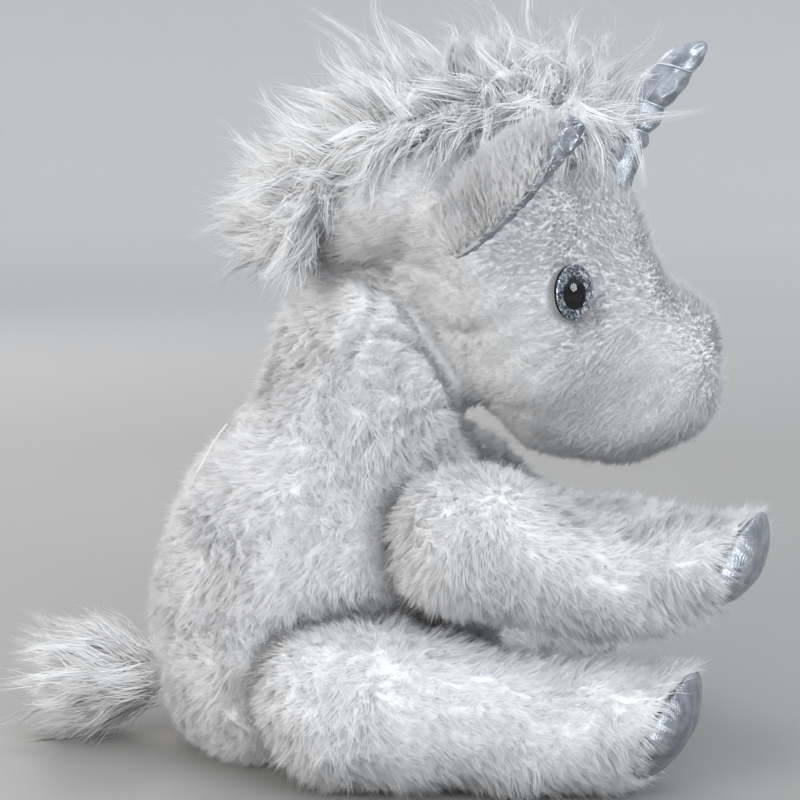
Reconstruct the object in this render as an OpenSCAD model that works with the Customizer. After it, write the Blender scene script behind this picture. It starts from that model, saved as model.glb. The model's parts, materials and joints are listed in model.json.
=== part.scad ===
// Seated plush unicorn: short white pile, silver horn, ear linings and sole pads, long mane and tail.
// The frame: +X is forwards, +Y is the toy's left, +Z is up. The origin is the middle of the flat seat.
// Each soft piece is a closed solid of its sewn outer shape. The pile stands a few millimetres proud of it.

/* [Torso] */
// Length of the flat seat, front to back
seat_l = 120; // [110:1:130]
// Width of the flat seat
seat_w = 96; // [88:1:100]
// Thickness of the pile fabric, backing and packed pile together
fabric_t = 2; // [1.5:0.1:2.5]

/* [Head] */
// Angle either side of the centre line that the head gusset covers
gusset_half = 24; // [16:1:30]
// Radius of the ball that the stuffed neck ends in
neck_r = 46; // [42:1:48]
// Diameter of the clear eye dome
eye_d = 25; // [22:0.5:27]

/* [Horn] */
// Height of the horn along the direction that its base stands in
horn_l = 59; // [50:1:66]
// Radius of the horn at its base
horn_r = 11.5; // [9:0.5:12.5]
// Number of turns that the binding thread takes round the horn
thread_turns = 4.4; // [3.6:0.2:5]
// How far the curved tip ends in front of the line of the base
tip_lean = 21.5; // [8:0.5:24]

/* [Ears] */
// Length of an ear from root to tip
ear_l = 80; // [70:1:90]
// Width of an ear at its widest
ear_w = 43; // [36:1:48]

/* [Forelegs] */
// Radius of the stuffed shoulder
shoulder_r = 34; // [30:1:36]
// Angle by which the right foreleg points outwards from straight ahead
right_splay = 12; // [8:1:18]
// Angle by which the left foreleg points inwards from straight ahead
left_tuck = 8; // [5:1:10]
// Angle by which the left foreleg hangs lower than the right
left_droop = 14; // [8:0.5:16]
// Diameter of a front sole pad
fore_pad_d = 47; // [42:1:50]

/* [Hind legs] */
// Radius of the stuffed haunch
haunch_r = 37; // [33:1:38]
// Angle by which a hind leg points away from straight ahead
hindleg_splay = 10; // [6:1:16]
// Diameter of a hind sole pad
hind_pad_d = 54; // [48:1:58]

/* [Tail] */
// Radius of the sewn tail root
tail_r = 9; // [7:0.5:10]

/* [Hidden] */

// Gap between a skin and the stuffing in it, and clear space round the neck ball and the limb balls
slack = 0.5;
socket_gap = 2.5;
limb_gap = 4;
body_gap = 0.6;

// Seat panel thickness and the height at which the torso ends and the neck begins
base_t = 1.6;
torso_top = 176;

// Pivots: neck ball, left shoulder, left hip, horn root, ear root and tail root
neck_at = [22, 0, 188];
shoulder_at = [66, 66, 112];
hip_at = [8, 66, 37.6];
horn_at = [144.3, 0, 285.3];
ear_at = [52.8, 76, 244.1];
tail_at = [-84, 0, 30];

// Torso outline from seat to neck: [height, rearmost x, foremost x, half width]
torso_rows = [[base_t, -seat_l / 2, seat_l / 2, seat_w / 2], [9, -66, 70, 58], [26, -73, 79, 66],
              [50, -76, 84, 69], [76, -76, 86, 69], [102, -70, 84, 65], [128, -58, 79, 59],
              [150, -45, 70, 52], [165, -32, 67, 47],
              [torso_top, neck_at.x - 45, neck_at.x + 45, 45]];

// Head outline from the nape to the nose: [x, top, bottom, half width]. From the second row to the
// cheek row the underside lies round the neck ball.
head_rows = [[-9, 246, 236, 6], [-4, 258, 231, 26], [6, 270, 235, 42], [17, 278, 237, 52],
             [28, 285, 237, 58], [38, 290, 234, 61], [46, 292.5, 228, 63], [52, 294.5, 219, 64],
             [57, 296, 209, 64.5], [61, 296.5, 197, 64.5], [64, 297, 186, 64], [69, 297.5, 173, 63.5],
             [78, 298, 161, 62.5], [92, 298, 150.5, 60.5], [106, 296, 142.5, 55.5], [119, 291, 137, 45],
             [132, 283, 134, 38], [141, 275, 133, 36.5], [149, 265, 133, 36.5], [158, 247, 135, 37],
             [166, 229, 138.5, 36.5], [177, 217.5, 143.5, 33.5], [186, 207, 150.5, 28],
             [191.5, 195, 159, 19.5], [194.5, 181, 171, 5]];
// Row at which the cheek panels are sewn to the nape panels
cheek_row = 8;
head_mid = [70, 0, 220];

// Mane, front to back along the crown: [x, z, direction its hair stands in, height, half width]
mane_rows = [[126, 291, 60, 42, 20], [102, 300.5, 84, 48, 28], [70, 301.5, 95, 45, 32],
             [36, 292, 110, 44, 34], [8, 276, 130, 36, 34], [-8, 256, 152, 37, 32],
             [-13, 236, 172, 32, 24]];
mane_backing_t = 1.2;

// Foreleg and hind leg beyond the ball: [distance, drop of the middle, radius, pitch and yaw of the ring]
foreleg_rows = [[22, -4, 33, 0, 0], [40, -11, 28.5, 0, 0], [58, -16, 25.5, 0, 0], [78, -15, 25, 2, 4],
                [98, -10, 25.5, 8, 11], [113, -7, 25.5, 18, 19], [120, -6, 24.5, 22, 22]];
hindleg_rows = [[26, -0.4, 36.5, 0, 0], [50, -2, 34.5, 0, 0], [74, -6, 31, 0, 0], [98, -7.5, 29.2, 2, 4],
                [122, -7, 29.8, 8, 11], [140, -6.5, 29.5, 18, 20], [148, -6, 28, 22, 24]];

// Tail hair: [distance from the root, height of the middle, half height, half width]
tail_rows = [[4, 30, 13, 13], [16, 32, 22, 21], [32, 34, 29, 27], [48, 33, 31, 29], [60, 31, 28, 27],
             [68, 28, 20, 19], [71, 27, 8, 8]];

// Ear directions for the left ear: along it, and out of its furry back
ear_along = unit([0.51, 0.36, 0.78]);
ear_across = unit(cross(ear_along, [-0.85, 0.34, 0.4]));
ear_out = cross(ear_across, ear_along);

// Eye: where its middle sits on the left cheek, and the direction it looks in
eye_at = [113.6, 51, 221];
eye_turn = 40;
eye_tilt = 4;
stem_d = 4;
washer_d = 15;

white = "#f3f2ee";
silver = "#aebbc9";
fluff = "#fbfbf8";

function unit(v) = v / norm(v);
function mix(a, b, t) = a + (b - a) * t;

// Catmull-Rom curve through rows, with a number of steps between each two
function smooth_row(rows, i, f) =
    let (n = len(rows) - 1, p0 = rows[max(i - 1, 0)], p1 = rows[i], p2 = rows[min(i + 1, n)],
         p3 = rows[min(i + 2, n)])
    0.5 * (2 * p1 + (p2 - p0) * f + (2 * p0 - 5 * p1 + 4 * p2 - p3) * f * f
           + (3 * p1 - p0 - 3 * p2 + p3) * f * f * f);
function smooth(rows, steps) =
    [for (k = [0 : (len(rows) - 1) * steps]) smooth_row(rows, floor(k / steps), (k % steps) / steps)];

function centroid(ring) = [for (v = [0 : 2]) [for (p = ring) p[v]] * [for (p = ring) 1] / len(ring)];
function flat(rings) = [for (ring = rings, p = ring) p];
function tri(a, b, c, d) = [[a, b, c], [a, c, d]];

// Outward faces of a grid of m rings of n points, from point number s on. The second half of a closed
// ring is split the other way, so that its two sides mirror each other.
function grid_faces(m, n, s, wrap) =
    [for (i = [0 : m - 2], j = [0 : n - (wrap ? 1 : 2)])
        let (k = (j + 1) % n, a = s + i * n + j, b = s + (i + 1) * n + j, c = s + (i + 1) * n + k,
             d = s + i * n + k)
        each wrap && j >= n / 2 ? tri(b, c, d, a) : tri(a, b, c, d)];
function turned(faces) = [for (f = faces) [f[2], f[1], f[0]]];

// Solid through closed rings, with both ends closed
module loft(rings) {
    m = len(rings);
    n = len(rings[0]);
    ends = [for (j = [0 : n - 1]) let (k = (j + 1) % n)
        each [[m * n, j, k], [m * n + 1, (m - 1) * n + k, (m - 1) * n + j]]];
    polyhedron(points = concat(flat(rings), [centroid(rings[0]), centroid(rings[m - 1])]),
               faces = concat(grid_faces(m, n, 0, true), ends));
}

// Shell that is closed at its first ring and open at its last
module cup(outer, inner) {
    m = len(outer);
    k = len(inner);
    n = len(outer[0]);
    s = m * n;
    top = s + k * n;
    ends = [for (j = [0 : n - 1]) let (q = (j + 1) % n) each [[top, j, q], [top + 1, s + q, s + j]]];
    rim = [for (j = [0 : n - 1]) let (q = (j + 1) % n)
        each tri((m - 1) * n + j, s + (k - 1) * n + j, s + (k - 1) * n + q, (m - 1) * n + q)];
    polyhedron(points = concat(flat(outer), flat(inner), [centroid(outer[0]), centroid(inner[0])]),
               faces = concat(grid_faces(m, n, 0, true), turned(grid_faces(k, n, s, true)), ends, rim));
}

// Panel of fabric between two equal grids of points
module panel(outer, inner) {
    m = len(outer);
    n = len(outer[0]);
    s = m * n;
    rows = [for (i = [0 : m - 2]) each concat(
        tri(i * n, s + i * n, s + (i + 1) * n, (i + 1) * n),
        tri((i + 2) * n - 1, s + (i + 2) * n - 1, s + (i + 1) * n - 1, (i + 1) * n - 1))];
    cols = [for (j = [0 : n - 2]) each concat(
        tri(j, j + 1, s + j + 1, s + j),
        tri((m - 1) * n + j, s + (m - 1) * n + j, s + (m - 1) * n + j + 1, (m - 1) * n + j + 1))];
    polyhedron(points = concat(flat(outer), flat(inner)),
               faces = concat(grid_faces(m, n, 0, false), turned(grid_faces(m, n, s, false)), rows, cols));
}

// Tube swept along points, with a frame that turns as little as the path allows
module tube(path, r, sides) {
    n = len(path);
    rings = [for (i = [0 : n - 1])
        let (t = unit(path[min(i + 1, n - 1)] - path[max(i - 1, 0)]),
             a = unit(cross(t, abs(t.y) < 0.8 ? [0, 1, 0] : [0, 0, 1])), b = cross(t, a))
        [for (j = [0 : sides - 1]) path[i] + r * (cos(360 * j / sides) * a + sin(360 * j / sides) * b)]];
    loft(rings);
}

// --- Torso -------------------------------------------------------------------------------------

// Moves a torso point inwards, out of the channel in which a limb of radius r lies
function press(p, pivot, r) =
    let (d = norm([min(p.x - pivot.x, 0), p.z - pivot.z]),
         limit = d < r ? pivot.y - sqrt(r * r - d * d) : 1000)
    [p.x, sign(p.y) * min(abs(p.y), limit), p.z];

function torso_point(row, a, inset) =
    let (rx = (row[2] - row[1]) / 2 - inset,
         p = [(row[1] + row[2]) / 2 + rx * cos(a), (row[3] - inset) * sin(a), row[0]])
    press(press(p, shoulder_at, shoulder_r + limb_gap + inset), hip_at, haunch_r + limb_gap + inset);

torso_sides = 17;
function torso_rings(inset, from, to) =
    [for (row = smooth(torso_rows, 2))
        [for (j = [from : to]) torso_point(row, 180 * j / torso_sides, inset)]];

module base_panel() {
    color(white) linear_extrude(base_t)
        polygon([for (a = [0 : 10 : 350]) [seat_l / 2 * cos(a), seat_w / 2 * sin(a)]]);
}

module torso_half(side) {
    color(white) mirror([0, side < 0 ? 1 : 0, 0])
        panel(torso_rings(0, 0, torso_sides), torso_rings(fabric_t, 0, torso_sides));
}

module torso_stuffing() {
    color(fluff) loft([for (ring = torso_rings(fabric_t + slack, 0, 2 * torso_sides - 1))
        [for (p = ring) [p.x, p.y, min(max(p.z, base_t + slack), torso_top - slack)]]]);
}

// Closing seam down the middle of the back, sewn by hand after the toy is filled
module back_seam_thread() {
    rows = smooth(torso_rows, 4);
    path = [for (row = rows) if (row[0] > 56 && row[0] < 158) [row[1] - 0.9, 0, row[0]]];
    color("gainsboro") tube(path, 0.6, 8);
}

// --- Neck --------------------------------------------------------------------------------------

neck_low = torso_top + body_gap - neck_at.z;

module neck_ball(r, low) {
    translate(neck_at) rotate_extrude($fn = 64) intersection() {
        circle(r, $fn = 96);
        translate([0, low]) square([r + 1, r + 1 - low]);
    }
}

module neck_skin() {
    color(white) difference() {
        neck_ball(neck_r, neck_low);
        neck_ball(neck_r - fabric_t, neck_low - 5);
    }
}

module neck_stuffing() {
    color(fluff) neck_ball(neck_r - fabric_t - slack, neck_low + slack);
}

// --- Head --------------------------------------------------------------------------------------

// Moves a head point outwards, off the ball of the neck
function lift(p, r) = let (v = p - neck_at, d = norm(v)) d < r ? neck_at + v * r / d : p;

// Point of the head skin: b is the angle from the crown, towards the right side
function head_point(row, b, inset) =
    let (mid = (row[1] + row[2]) / 2, high = (row[1] - row[2]) / 2,
         k = max(0.4, 1 - inset / min(high, row[3])),
         x = mix(head_mid.x, row[0], 1 - inset / 100))
    lift([x, -row[3] * k * sin(b), mid + high * k * cos(b)], neck_r + socket_gap + inset);

// Angles round the head: the left panel, the gusset over the crown and the right panel
panel_angles = [for (j = [0 : 9]) mix(-180, -gusset_half, j / 9)];
gusset_angles = [for (j = [0 : 4]) mix(-gusset_half, gusset_half, j / 4)];
all_angles = concat(panel_angles, [for (j = [1 : 4]) gusset_angles[j]],
                    [for (j = [8 : -1 : 1]) -panel_angles[j]]);
last_row = len(head_rows) - 1;

function head_rings(inset, from, to, angles) =
    [for (i = [from : to]) [for (b = angles) head_point(head_rows[i], b, inset)]];

module head_panel(from, to, angles) {
    panel(head_rings(0, from, to, angles), head_rings(fabric_t, from, to, angles));
}

module at_eye() {
    translate(eye_at) rotate([0, 0, 90 - eye_turn]) rotate([0, 90 - eye_tilt, 0]) children();
}

module cheek_panel(side) {
    color(white) mirror([0, side < 0 ? 1 : 0, 0]) difference() {
        head_panel(cheek_row, last_row, panel_angles);
        at_eye() translate([0, 0, -12]) cylinder(h = 20, d = stem_d + 1, $fn = 24);
    }
}

module nape_panel(side) {
    color(white) mirror([0, side < 0 ? 1 : 0, 0]) head_panel(0, cheek_row, panel_angles);
}

module head_gusset() {
    color(white) head_panel(0, last_row, gusset_angles);
}

module head_stuffing() {
    color(fluff) difference() {
        loft(head_rings(fabric_t + slack, 0, last_row, all_angles));
        for (side = [0, 1]) mirror([0, side, 0])
            at_eye() translate([0, 0, -16]) cylinder(h = 30, d = washer_d + 2, $fn = 32);
    }
}

// --- Mane --------------------------------------------------------------------------------------

function mane_frame(row) = [cos(row[2]), 0, sin(row[2])];

module mane_backing() {
    low = 0.2;
    high = low + mane_backing_t;
    color(white) loft([for (row = smooth(mane_rows, 3))
        [for (q = [[-1, low], [-1, high], [1, high], [1, low]])
            [row[0], q[0] * (row[4] - 8), row[1]] + q[1] * mane_frame(row)]]);
}

// Long hair, standing off the crown in a crest that is rounded across
module mane_pile() {
    low = mane_backing_t + 0.6;
    color(fluff) loft([for (row = smooth(mane_rows, 3))
        [for (j = [0 : 10]) let (a = 180 - 18 * j)
            [row[0], row[4] * cos(a), row[1]] + (low + row[3] * pow(sin(a), 0.7)) * mane_frame(row)]]);
}

// --- Eyes --------------------------------------------------------------------------------------

// Glitter disc behind the dome
module eye_iris(side) {
    color("slategray") mirror([0, side < 0 ? 1 : 0, 0]) at_eye()
        translate([0, 0, 1.2]) cylinder(h = 0.8, d = eye_d - 0.6, $fn = 48);
}

// Clear dome, domed outside and flat behind
module eye_dome(side) {
    rise = 6;
    ball = (eye_d * eye_d / 4 + rise * rise) / (2 * rise);
    color([0.8, 0.85, 0.9, 0.5]) mirror([0, side < 0 ? 1 : 0, 0]) at_eye()
        translate([0, 0, 2.1]) rotate_extrude($fn = 48) intersection() {
            translate([0, rise - ball]) circle(ball, $fn = 160);
            square([eye_d, rise]);
        }
}

// Moulded back plate with the stem that goes through the fabric
module eye_stem(side) {
    color("black") mirror([0, side < 0 ? 1 : 0, 0]) at_eye() {
        translate([0, 0, 0.3]) cylinder(h = 0.8, d = eye_d, $fn = 48);
        translate([0, 0, -13]) cylinder(h = 13.4, d = stem_d, $fn = 24);
    }
}

// Toothed washer pushed on to the stem inside the head
module eye_washer(side) {
    color("white") mirror([0, side < 0 ? 1 : 0, 0]) at_eye() translate([0, 0, -11]) difference() {
        cylinder(h = 1.4, d = washer_d, $fn = 32);
        translate([0, 0, -1]) cylinder(h = 4, d = stem_d + 0.2, $fn = 24);
    }
}

// --- Horn --------------------------------------------------------------------------------------

horn_lean = 20;
horn_steps = 26;
horn_sides = 14;
curve_power = 1.8;

// Middle line of the horn above its pivot: straight at the base, then curving forwards
function horn_axis(t) = [tip_lean * pow(t, curve_power), 0, horn_l * t];
function horn_slope(t) = atan(tip_lean * curve_power * pow(t, curve_power - 1) / horn_l);
// Turns that the thread has taken by height t: close together at the base, wide apart at the tip
function horn_turns(t) = thread_turns * sqrt(t);
// The thread pulls a groove that winds up the horn; between its turns the fabric puffs out
function horn_wave(t, a) = pow(abs(sin(180 * (horn_turns(t) - a / 360))), 0.6);
function horn_width(t) = horn_r * (1 - 0.2 * t) * sqrt(max(0, 1 - pow(t, 5)));
function horn_spoke(t, a, r) =
    horn_axis(t) + r * [cos(a) * cos(horn_slope(t)), sin(a), -cos(a) * sin(horn_slope(t))];
function horn_ring(t, inset) =
    [for (j = [horn_sides - 1 : -1 : 0]) let (a = 360 * j / horn_sides)
        horn_spoke(t, a, max(0.5, horn_width(t) * (0.82 + 0.18 * horn_wave(t, a)) - inset))];
// Rounded foot below the pivot, so that the horn can lean in any direction
function horn_foot(t, inset) =
    [for (j = [horn_sides - 1 : -1 : 0]) let (a = 360 * j / horn_sides, r = horn_r * 0.82 - inset)
        r * [cos(t) * cos(a), cos(t) * sin(a), -sin(t)]];
function horn_rings(inset, top) =
    concat([for (i = [0 : horn_steps]) horn_ring(mix(top, 0.03, i / horn_steps), inset)],
           [for (t = [8 : 16 : 56]) horn_foot(t, inset)]);

module at_horn() {
    translate(horn_at) rotate([0, horn_lean, 0]) children();
}

module horn_cover() {
    color(silver) at_horn() cup(horn_rings(0, 0.985), horn_rings(1, 0.96));
}

module horn_stuffing() {
    color(fluff) at_horn() loft(horn_rings(1.3, 0.94));
}

// Silver thread wound up the horn in its groove, from the base to the tip
module horn_thread() {
    steps = 72;
    r = 0.5;
    path = [for (i = [0 : steps]) let (t = mix(0.03, 0.95, pow(i / steps, 1.4)))
        horn_spoke(t, 360 * horn_turns(t), horn_width(t) * 0.82 + r + 1.8)];
    color("lightsteelblue") at_horn() tube(path, r, 6);
}

// --- Ears --------------------------------------------------------------------------------------

function ear_half(u) =
    ear_w / 2 * (0.42 + 0.58 * pow(sin(180 * pow(u, 0.85) * 0.97), 0.8)) * (1 - 0.8 * pow(u, 6));
// Point of the ear: u runs from root to tip, v across it; depth is measured out of its back.
// The tip leans to the outer edge, which makes that edge straighter than the inner one.
function ear_point(u, v, depth) =
    let (half = ear_half(u) - 0.4 * abs(depth), hollow = -0.2 * half * v * v, curl = -10 * pow(u, 4))
    ear_at + ear_along * (ear_l * u) + ear_across * (half * v - 19 * u * u)
    + ear_out * (hollow + curl + depth);
function ear_grid(depth) =
    [for (i = [0 : 12]) [for (j = [0 : 6]) ear_point(mix(0.03, 1, i / 12), j / 3 - 1, depth)]];

module ear_back(side) {
    color(white) mirror([0, side < 0 ? 1 : 0, 0]) panel(ear_grid(3), ear_grid(0.2));
}

module ear_lining(side) {
    color(silver) mirror([0, side < 0 ? 1 : 0, 0]) panel(ear_grid(-0.2), ear_grid(-2));
}

// --- Limbs -------------------------------------------------------------------------------------

// Ring of a limb: the pitch turns it to face down, the yaw turns it to face out
function limb_ring(x, drop, r, pitch, yaw) =
    let (side = [-sin(yaw), cos(yaw), 0], up = [sin(pitch) * cos(yaw), sin(pitch) * sin(yaw), cos(pitch)])
    [for (a = [0 : 20 : 340]) [x, 0, drop] + r * (cos(a) * side + sin(a) * up)];
function limb_rings(ball, rows, inset, cut) =
    concat([for (a = [172 : -16 : 92])
               limb_ring((ball - inset) * cos(a), 0, (ball - inset) * sin(a), 0, 0)],
           [for (i = [0 : len(rows) * 2 - 2 - cut]) let (r = smooth(rows, 2)[i])
               limb_ring(r[0], r[1], r[2] - inset, r[3], r[4])]);

module at_limb(pivot, side, splay, droop) {
    mirror([0, side < 0 ? 1 : 0, 0]) translate(pivot)
        rotate([0, 0, splay]) rotate([0, droop, 0]) children();
}

module at_shoulder(side) {
    at_limb(shoulder_at, side, side > 0 ? -left_tuck : right_splay, side > 0 ? left_droop : 0) children();
}

module limb_skin(ball, rows) {
    color(white) cup(limb_rings(ball, rows, 0, 0), limb_rings(ball, rows, fabric_t, 0));
}

module limb_stuffing(ball, rows) {
    color(fluff) loft(limb_rings(ball, rows, fabric_t + slack, 1));
}

// Crowned sole pad that closes the end of a limb
module sole_pad(rows, d) {
    last = rows[len(rows) - 1];
    rise = 6;
    ball = (d * d / 4 + rise * rise) / (2 * rise);
    color(silver) translate([last[0], 0, last[1]]) rotate([0, 0, last[4]]) rotate([0, 90 + last[3], 0])
        translate([0, 0, 0.3]) rotate_extrude($fn = 64) intersection() {
            translate([0, rise - ball]) difference() {
                circle(ball, $fn = 180);
                circle(ball - 1.4, $fn = 180);
            }
            square([d, rise + 1]);
        }
}

module foreleg_skin(side) {
    at_shoulder(side) limb_skin(shoulder_r, foreleg_rows);
}

module foreleg_stuffing(side) {
    at_shoulder(side) limb_stuffing(shoulder_r, foreleg_rows);
}

module fore_pad(side) {
    at_shoulder(side) sole_pad(foreleg_rows, fore_pad_d);
}

module hindleg_skin(side) {
    at_limb(hip_at, side, hindleg_splay, 0) limb_skin(haunch_r, hindleg_rows);
}

module hindleg_stuffing(side) {
    at_limb(hip_at, side, hindleg_splay, 0) limb_stuffing(haunch_r, hindleg_rows);
}

module hind_pad(side) {
    at_limb(hip_at, side, hindleg_splay, 0) sole_pad(hindleg_rows, hind_pad_d);
}

// --- Tail --------------------------------------------------------------------------------------

// Short stuffed tube that the tail hair is sewn round, with a round end towards the torso
module tail_root() {
    color(white) translate(tail_at) rotate([0, -90, 0]) union() {
        sphere(tail_r, $fn = 48);
        cylinder(h = 30, r = tail_r, $fn = 48);
    }
}

module tail_pile() {
    rows = smooth(tail_rows, 2);
    color(fluff) difference() {
        loft([for (r = rows) [for (a = [0 : 22.5 : 350])
            [tail_at.x - r[0], -r[3] * cos(a), r[1] + r[2] * sin(a)]]]);
        translate(tail_at) rotate([0, -90, 0]) cylinder(h = 30.4, r = tail_r + 0.4, $fn = 48);
    }
}

base_panel();
torso_half(1);  // torso_panel_left
torso_half(-1);  // torso_panel_right
torso_stuffing();
back_seam_thread();
neck_skin();
neck_stuffing();
cheek_panel(1);  // cheek_panel_left
cheek_panel(-1);  // cheek_panel_right
nape_panel(1);  // nape_panel_left
nape_panel(-1);  // nape_panel_right
head_gusset();
head_stuffing();
mane_backing();
mane_pile();
eye_dome(1);  // eye_dome_left
eye_dome(-1);  // eye_dome_right
eye_iris(1);  // eye_iris_left
eye_iris(-1);  // eye_iris_right
eye_stem(1);  // eye_stem_left
eye_stem(-1);  // eye_stem_right
eye_washer(1);  // eye_washer_left
eye_washer(-1);  // eye_washer_right
horn_cover();
horn_stuffing();
horn_thread();
ear_back(1);  // ear_back_left
ear_back(-1);  // ear_back_right
ear_lining(1);  // ear_lining_left
ear_lining(-1);  // ear_lining_right
foreleg_skin(1);  // foreleg_skin_left
foreleg_skin(-1);  // foreleg_skin_right
foreleg_stuffing(1);  // foreleg_stuffing_left
foreleg_stuffing(-1);  // foreleg_stuffing_right
fore_pad(1);  // fore_pad_left
fore_pad(-1);  // fore_pad_right
hindleg_skin(1);  // hindleg_skin_left
hindleg_skin(-1);  // hindleg_skin_right
hindleg_stuffing(1);  // hindleg_stuffing_left
hindleg_stuffing(-1);  // hindleg_stuffing_right
hind_pad(1);  // hind_pad_left
hind_pad(-1);  // hind_pad_right
tail_root();
tail_pile();
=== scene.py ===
"""A seated white plush unicorn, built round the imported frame, on a pale studio floor.

Lengths are in millimetres, as in the CAD model, until a mesh is made. +X is forwards, +Y is the
toy's left and +Z is up.
"""
import json
import math
import zlib

import bmesh
import bpy
import numpy as np
from mathutils import Matrix, Vector
from mathutils.bvhtree import BVHTree
from mathutils.kdtree import KDTree


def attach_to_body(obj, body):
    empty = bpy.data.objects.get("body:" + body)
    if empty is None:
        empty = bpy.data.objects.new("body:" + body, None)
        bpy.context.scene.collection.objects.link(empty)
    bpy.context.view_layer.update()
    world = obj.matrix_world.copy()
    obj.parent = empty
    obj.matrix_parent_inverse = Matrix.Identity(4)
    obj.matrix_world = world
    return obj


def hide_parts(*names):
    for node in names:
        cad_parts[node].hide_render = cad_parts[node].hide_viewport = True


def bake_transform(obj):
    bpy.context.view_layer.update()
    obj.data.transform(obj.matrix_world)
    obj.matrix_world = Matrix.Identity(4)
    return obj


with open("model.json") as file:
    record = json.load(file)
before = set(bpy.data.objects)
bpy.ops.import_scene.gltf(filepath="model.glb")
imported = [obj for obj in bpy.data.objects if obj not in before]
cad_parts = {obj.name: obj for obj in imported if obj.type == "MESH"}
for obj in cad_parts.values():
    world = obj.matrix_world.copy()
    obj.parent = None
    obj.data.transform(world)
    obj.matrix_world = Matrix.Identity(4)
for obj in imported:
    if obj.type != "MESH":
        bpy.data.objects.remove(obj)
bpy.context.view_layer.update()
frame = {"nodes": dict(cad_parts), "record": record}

MM = 0.001
SIDES = {"left": 1, "right": -1}

# Camera: what it looks at, how far away it is, and the angles of the view in degrees
LOOK_AT = (40, 0, 165)
VIEW_DISTANCE = 800
VIEW_AZIMUTH = -4
VIEW_ELEVATION = 9
LENS = 75

# Pivots and sizes of the CAD model; the right side mirrors the left one
NECK_AT = np.array([22, 0, 188])
HORN_AT = np.array([144.3, 0, 285.3])
EAR_AT = np.array([52.8, 76, 244.1])
EYE_AT = np.array([113.6, 51, 221])
TAIL_AT = np.array([-84, 0, 30])
NOSE_AT = np.array([196, 0, 195])
EYE_TURN = 40
EYE_TILT = 4
EYE_R = 12.5
HORN_LEAN = 20
HORN_L = 59
HORN_R = 11.5
TIP_LEAN = 21.5
THREAD_TURNS = 4.4
EAR_L = 80
EAR_W = 43

# Limbs: pivot, end of the middle line, the sole's pitch and yaw, and the pad's radius
FORELEG = dict(pivot=(66, 66, 112), end=(120, -6), pitch=22, yaw=22, pad_r=23.5)
HINDLEG = dict(pivot=(8, 66, 37.6), end=(148, -6), pitch=22, yaw=24, pad_r=27)
# Splay is outward and droop is downward, both from straight ahead
LIMBS = {
    "foreleg_left": dict(FORELEG, splay=-8, droop=14),
    "foreleg_right": dict(FORELEG, splay=12, droop=0),
    "hindleg_left": dict(HINDLEG, splay=10, droop=0),
    "hindleg_right": dict(HINDLEG, splay=10, droop=0),
}

# Numbers of strands: per side of the torso and head, per limb and per ear
TORSO_STRANDS = 124000
HEAD_STRANDS = 128000
LIMB_STRANDS = 65000
EAR_STRANDS = 46000
# Locks in each third of the mane, short locks under them, and hairs in a lock
MANE_LOCKS = 300
UNDER_LOCKS = 150
LOCK_HAIRS = 38
# Share of the mane's locks that grow along its hem
HEM_SHARE = 0.3

# Mane, front to back along the crown: [x, z, direction its hair stands in, height, half width]
MANE_ROWS = np.array([
    [126, 291, 60, 42, 20], [102, 300.5, 84, 48, 28], [70, 301.5, 95, 45, 32], [36, 292, 110, 44, 34],
    [8, 276, 130, 36, 34], [-8, 256, 152, 37, 32], [-13, 236, 172, 32, 24],
])


# --- Numbers ---

def seeded(name):
    """A random generator that depends on nothing but a name."""
    return np.random.default_rng(zlib.crc32(name.encode()))


def unit(v):
    return v / np.maximum(np.linalg.norm(v, axis=-1, keepdims=True), 1e-9)


def dots(a, b):
    return (a * b).sum(-1, keepdims=True)


def waves(points, length, name, count=7):
    """Smooth random vectors, each component about 1, that change over roughly this length."""
    rng = seeded(name)
    pace = unit(rng.normal(size=(count, 3))) * rng.uniform(0.6, 1.5, (count, 1)) * 2 * math.pi / length
    angle = points @ pace.T
    parts = [np.sin(angle + rng.uniform(0, 2 * math.pi, count)).sum(1) for _ in range(3)]
    return np.stack(parts, 1) * math.sqrt(2 / count)


def mirrored(points, side):
    return points * np.array([1, side, 1])


def turn(points, axis, degrees):
    return points @ np.array(Matrix.Rotation(math.radians(degrees), 3, axis)).T


# --- Meshes ---

# Where the torso's skin meets the head's, across the neck, and the direction from one to the other
SPLIT_AT = np.array([29.8, 0, 193.7])
SPLIT_WAY = np.array([0.7, 0, 0.714])
# Skins that lie across a joint of the neck and stay where they are: the two bodies, and how far before and
# after the split they would turn
BENDS = {"torso_to_neck": ("torso", "neck", -32, 0), "neck_to_head": ("neck", "head", 0, 26)}


def attach(obj, body):
    """Makes a piece ride on a body, or leaves it where it is if it lies across one of the neck's joints."""
    if body not in BENDS:
        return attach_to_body(obj, body)
    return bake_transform(obj)


def facing_out(points, faces):
    """The faces, turned over if they enclose a negative volume."""
    volume = 0
    for f in faces:
        for k in range(1, f.shape[1] - 1):
            a, b, c = points[f[:, 0]], points[f[:, k]], points[f[:, k + 1]]
            volume += (a * np.cross(b, c)).sum()
    return [f[:, ::-1] for f in faces] if volume < 0 else faces


def add_mesh(name, points, faces, material, body):
    """A smooth mesh from points in mm and arrays of face corners, attached to a body."""
    mesh = bpy.data.meshes.new(name)
    corners = np.concatenate([f.ravel() for f in faces]).astype(np.int32)
    sizes = np.concatenate([np.full(len(f), f.shape[1]) for f in faces])
    mesh.vertices.add(len(points))
    mesh.vertices.foreach_set("co", (points * MM).astype(np.float32).ravel())
    mesh.loops.add(len(corners))
    mesh.loops.foreach_set("vertex_index", corners)
    mesh.polygons.add(len(sizes))
    mesh.polygons.foreach_set("loop_start", (np.cumsum(sizes) - sizes).astype(np.int32))
    mesh.polygons.foreach_set("use_smooth", np.ones(len(sizes), bool))
    mesh.update(calc_edges=True)
    mesh.materials.append(material)
    obj = bpy.data.objects.new(name, mesh)
    bpy.context.scene.collection.objects.link(obj)
    attach(obj, body)
    return obj


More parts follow.
